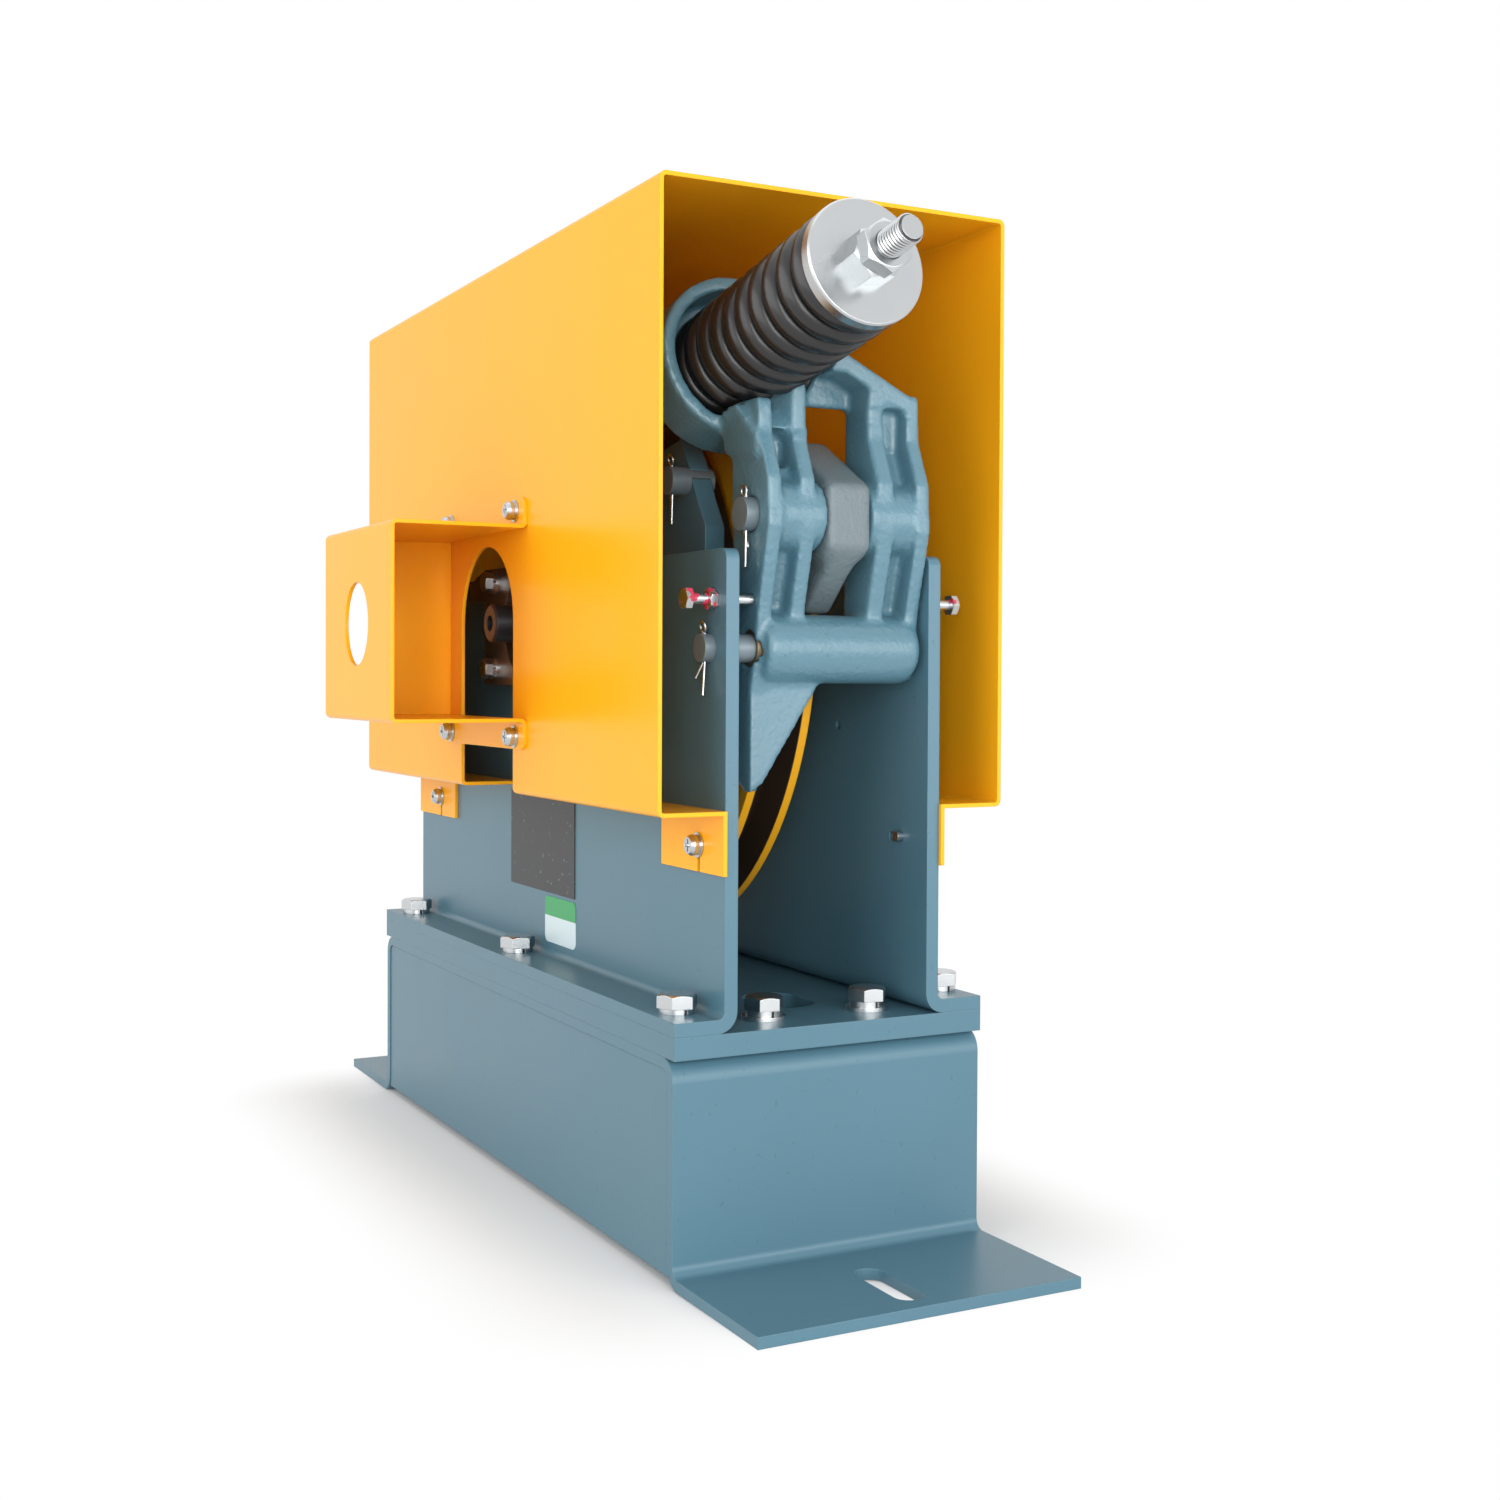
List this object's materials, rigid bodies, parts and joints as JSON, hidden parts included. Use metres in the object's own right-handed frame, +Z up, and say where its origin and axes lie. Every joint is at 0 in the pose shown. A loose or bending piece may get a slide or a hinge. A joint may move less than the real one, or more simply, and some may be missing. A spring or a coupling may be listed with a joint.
{
  "type": "overspeed governor",
  "caption": "Rope-clamping lift overspeed governor: grooved sheave between side plates on a box base, cast clamp arm with spring rod, yellow hood with shaft guard box",
  "frame": {"origin": "floor level under the shaft axis, midway between the side plates and between the ends of the base", "axes": "+X along the base towards the clamp arm and spring, -Y towards the guard box and the bare shaft end, +Z up"},
  "size_m": [0.4839, 0.1965, 0.38],
  "materials": {
    "blue_paint": "semi-gloss blue-grey enamel on steel sheet",
    "blue_casting": "the same enamel over a rough casting",
    "yellow_paint": "glossy yellow powder coat",
    "sheave_paint": "yellow paint with a bare dark rope groove",
    "zinc": "bright zinc plate",
    "bare_steel": "machined steel, lightly oiled",
    "black_oxide": "black oxide",
    "black_spring": "black painted spring steel",
    "bronze": "plain bearing bronze",
    "plate_foil": "dark anodised sheet, bare",
    "sticker_foil": "thin printed film, plain colours only"
  },
  "bodies": {
    "frame": {"base_frame": "blue_paint", "base_panel_left": "blue_paint", "base_panel_right": "blue_paint", "base_plate": "blue_paint", "side_plate_left": "blue_paint", "side_plate_right": "blue_paint", "cover": "yellow_paint", "guard": "yellow_paint", "flange_bolts": "zinc", "base_bolts": "zinc", "base_nuts": "zinc", "m8_flat_washers": "zinc", "m8_spring_washers": "zinc", "housing_bolts": "zinc", "m5_flat_washers": "zinc", "m5_spring_washers": "zinc", "arm_pivot_pin": "zinc", "pivot_split_pins": "zinc", "adjusting_screws": "zinc", "adjusting_nuts": "zinc", "cover_screws": "zinc", "guard_screws": "zinc", "guard_nuts": "zinc", "bearing_housing_left": "bare_steel", "bearing_housing_right": "bare_steel", "bearing_outer_rings": "bare_steel", "bearing_balls": "bare_steel", "lever_stop_pin": "bare_steel", "bearing_circlips": "black_oxide", "nameplate": "plate_foil", "inspection_sticker": "sticker_foil"},
    "sheave_set": {"shaft": "black_oxide", "sheave_key": "bare_steel", "sheave": "sheave_paint", "bearing_inner_rings": "bare_steel", "flyweight_pins": "bare_steel", "spring_post": "bare_steel", "flyweight_spring": "bare_steel"},
    "weight_a": {"flyweight_a": "bare_steel", "link_pin_a": "bare_steel"},
    "weight_b": {"flyweight_b": "bare_steel", "link_pin_b": "bare_steel"},
    "link": {"flyweight_link": "bare_steel"},
    "lever": {"ratchet_wheel": "bare_steel", "lever_bush": "bronze", "trip_lever": "blue_paint", "lever_screws": "zinc", "lever_pin": "zinc", "lever_split_pin": "zinc"},
    "rod": {"rod_fork": "bare_steel", "fork_pin": "zinc", "pull_rod": "zinc", "rod_nuts": "zinc", "spring_disc": "zinc", "main_spring": "black_spring"},
    "arm": {"clamp_arm": "blue_casting", "arm_bushes": "bronze", "shoe_pin": "zinc", "shoe_split_pin": "zinc"},
    "shoe": {"clamp_shoe": "blue_casting"}
  },
  "joints": [
    {"name": "sheave_spin", "type": "hinge", "parent": "frame", "child": "sheave_set", "pos_m": [0, 0.0043, 0.232], "axis": [0, -1, 0], "continuous": true},
    {"name": "weight_a_swing", "type": "hinge", "parent": "sheave_set", "child": "weight_a", "pos_m": [0, -0.002, 0.308], "axis": [0, -1, 0], "range_deg": [0, 8.7], "stiffness_Nm_per_rad": 3, "springref_deg": -2.86, "deforming": ["flyweight_spring"]},
    {"name": "weight_b_swing", "type": "hinge", "parent": "sheave_set", "child": "weight_b", "pos_m": [0, -0.002, 0.156], "axis": [0, -1, 0], "range_deg": [0, 8.7]},
    {"name": "link_swing", "type": "hinge", "parent": "weight_a", "child": "link", "pos_m": [0.03, -0.01, 0.306], "axis": [0, -1, 0], "range_deg": [-8.7, 0]},
    {"name": "lever_trip", "type": "hinge", "parent": "frame", "child": "lever", "pos_m": [0, -0.022, 0.232], "axis": [0, -1, 0], "range_deg": [0, 6], "stiffness_Nm_per_rad": 30, "springref_deg": -5.73},
    {"name": "rod_swing", "type": "hinge", "parent": "lever", "child": "rod", "pos_m": [0.008, -0.022, 0.30243], "axis": [0, -1, 0], "range_deg": [-7.68, 0], "deforming": ["main_spring"]},
    {"name": "arm_swing", "type": "hinge", "parent": "frame", "child": "arm", "pos_m": [0.157, 0.0043, 0.22], "axis": [0, -1, 0], "range_deg": [0, 3.71]},
    {"name": "shoe_tilt", "type": "hinge", "parent": "arm", "child": "shoe", "pos_m": [0.1595, 0.0043, 0.2673], "axis": [0, -1, 0], "range_deg": [-2, 2]}
  ],
  "couplings": [
    {"joint": "weight_b_swing", "follows": "weight_a_swing", "ratio": 1},
    {"joint": "link_swing", "follows": "weight_a_swing", "ratio": -1},
    {"joint": "rod_swing", "follows": "lever_trip", "ratio": -1.2779},
    {"joint": "arm_swing", "follows": "lever_trip", "ratio": 0.61667}
  ]
}
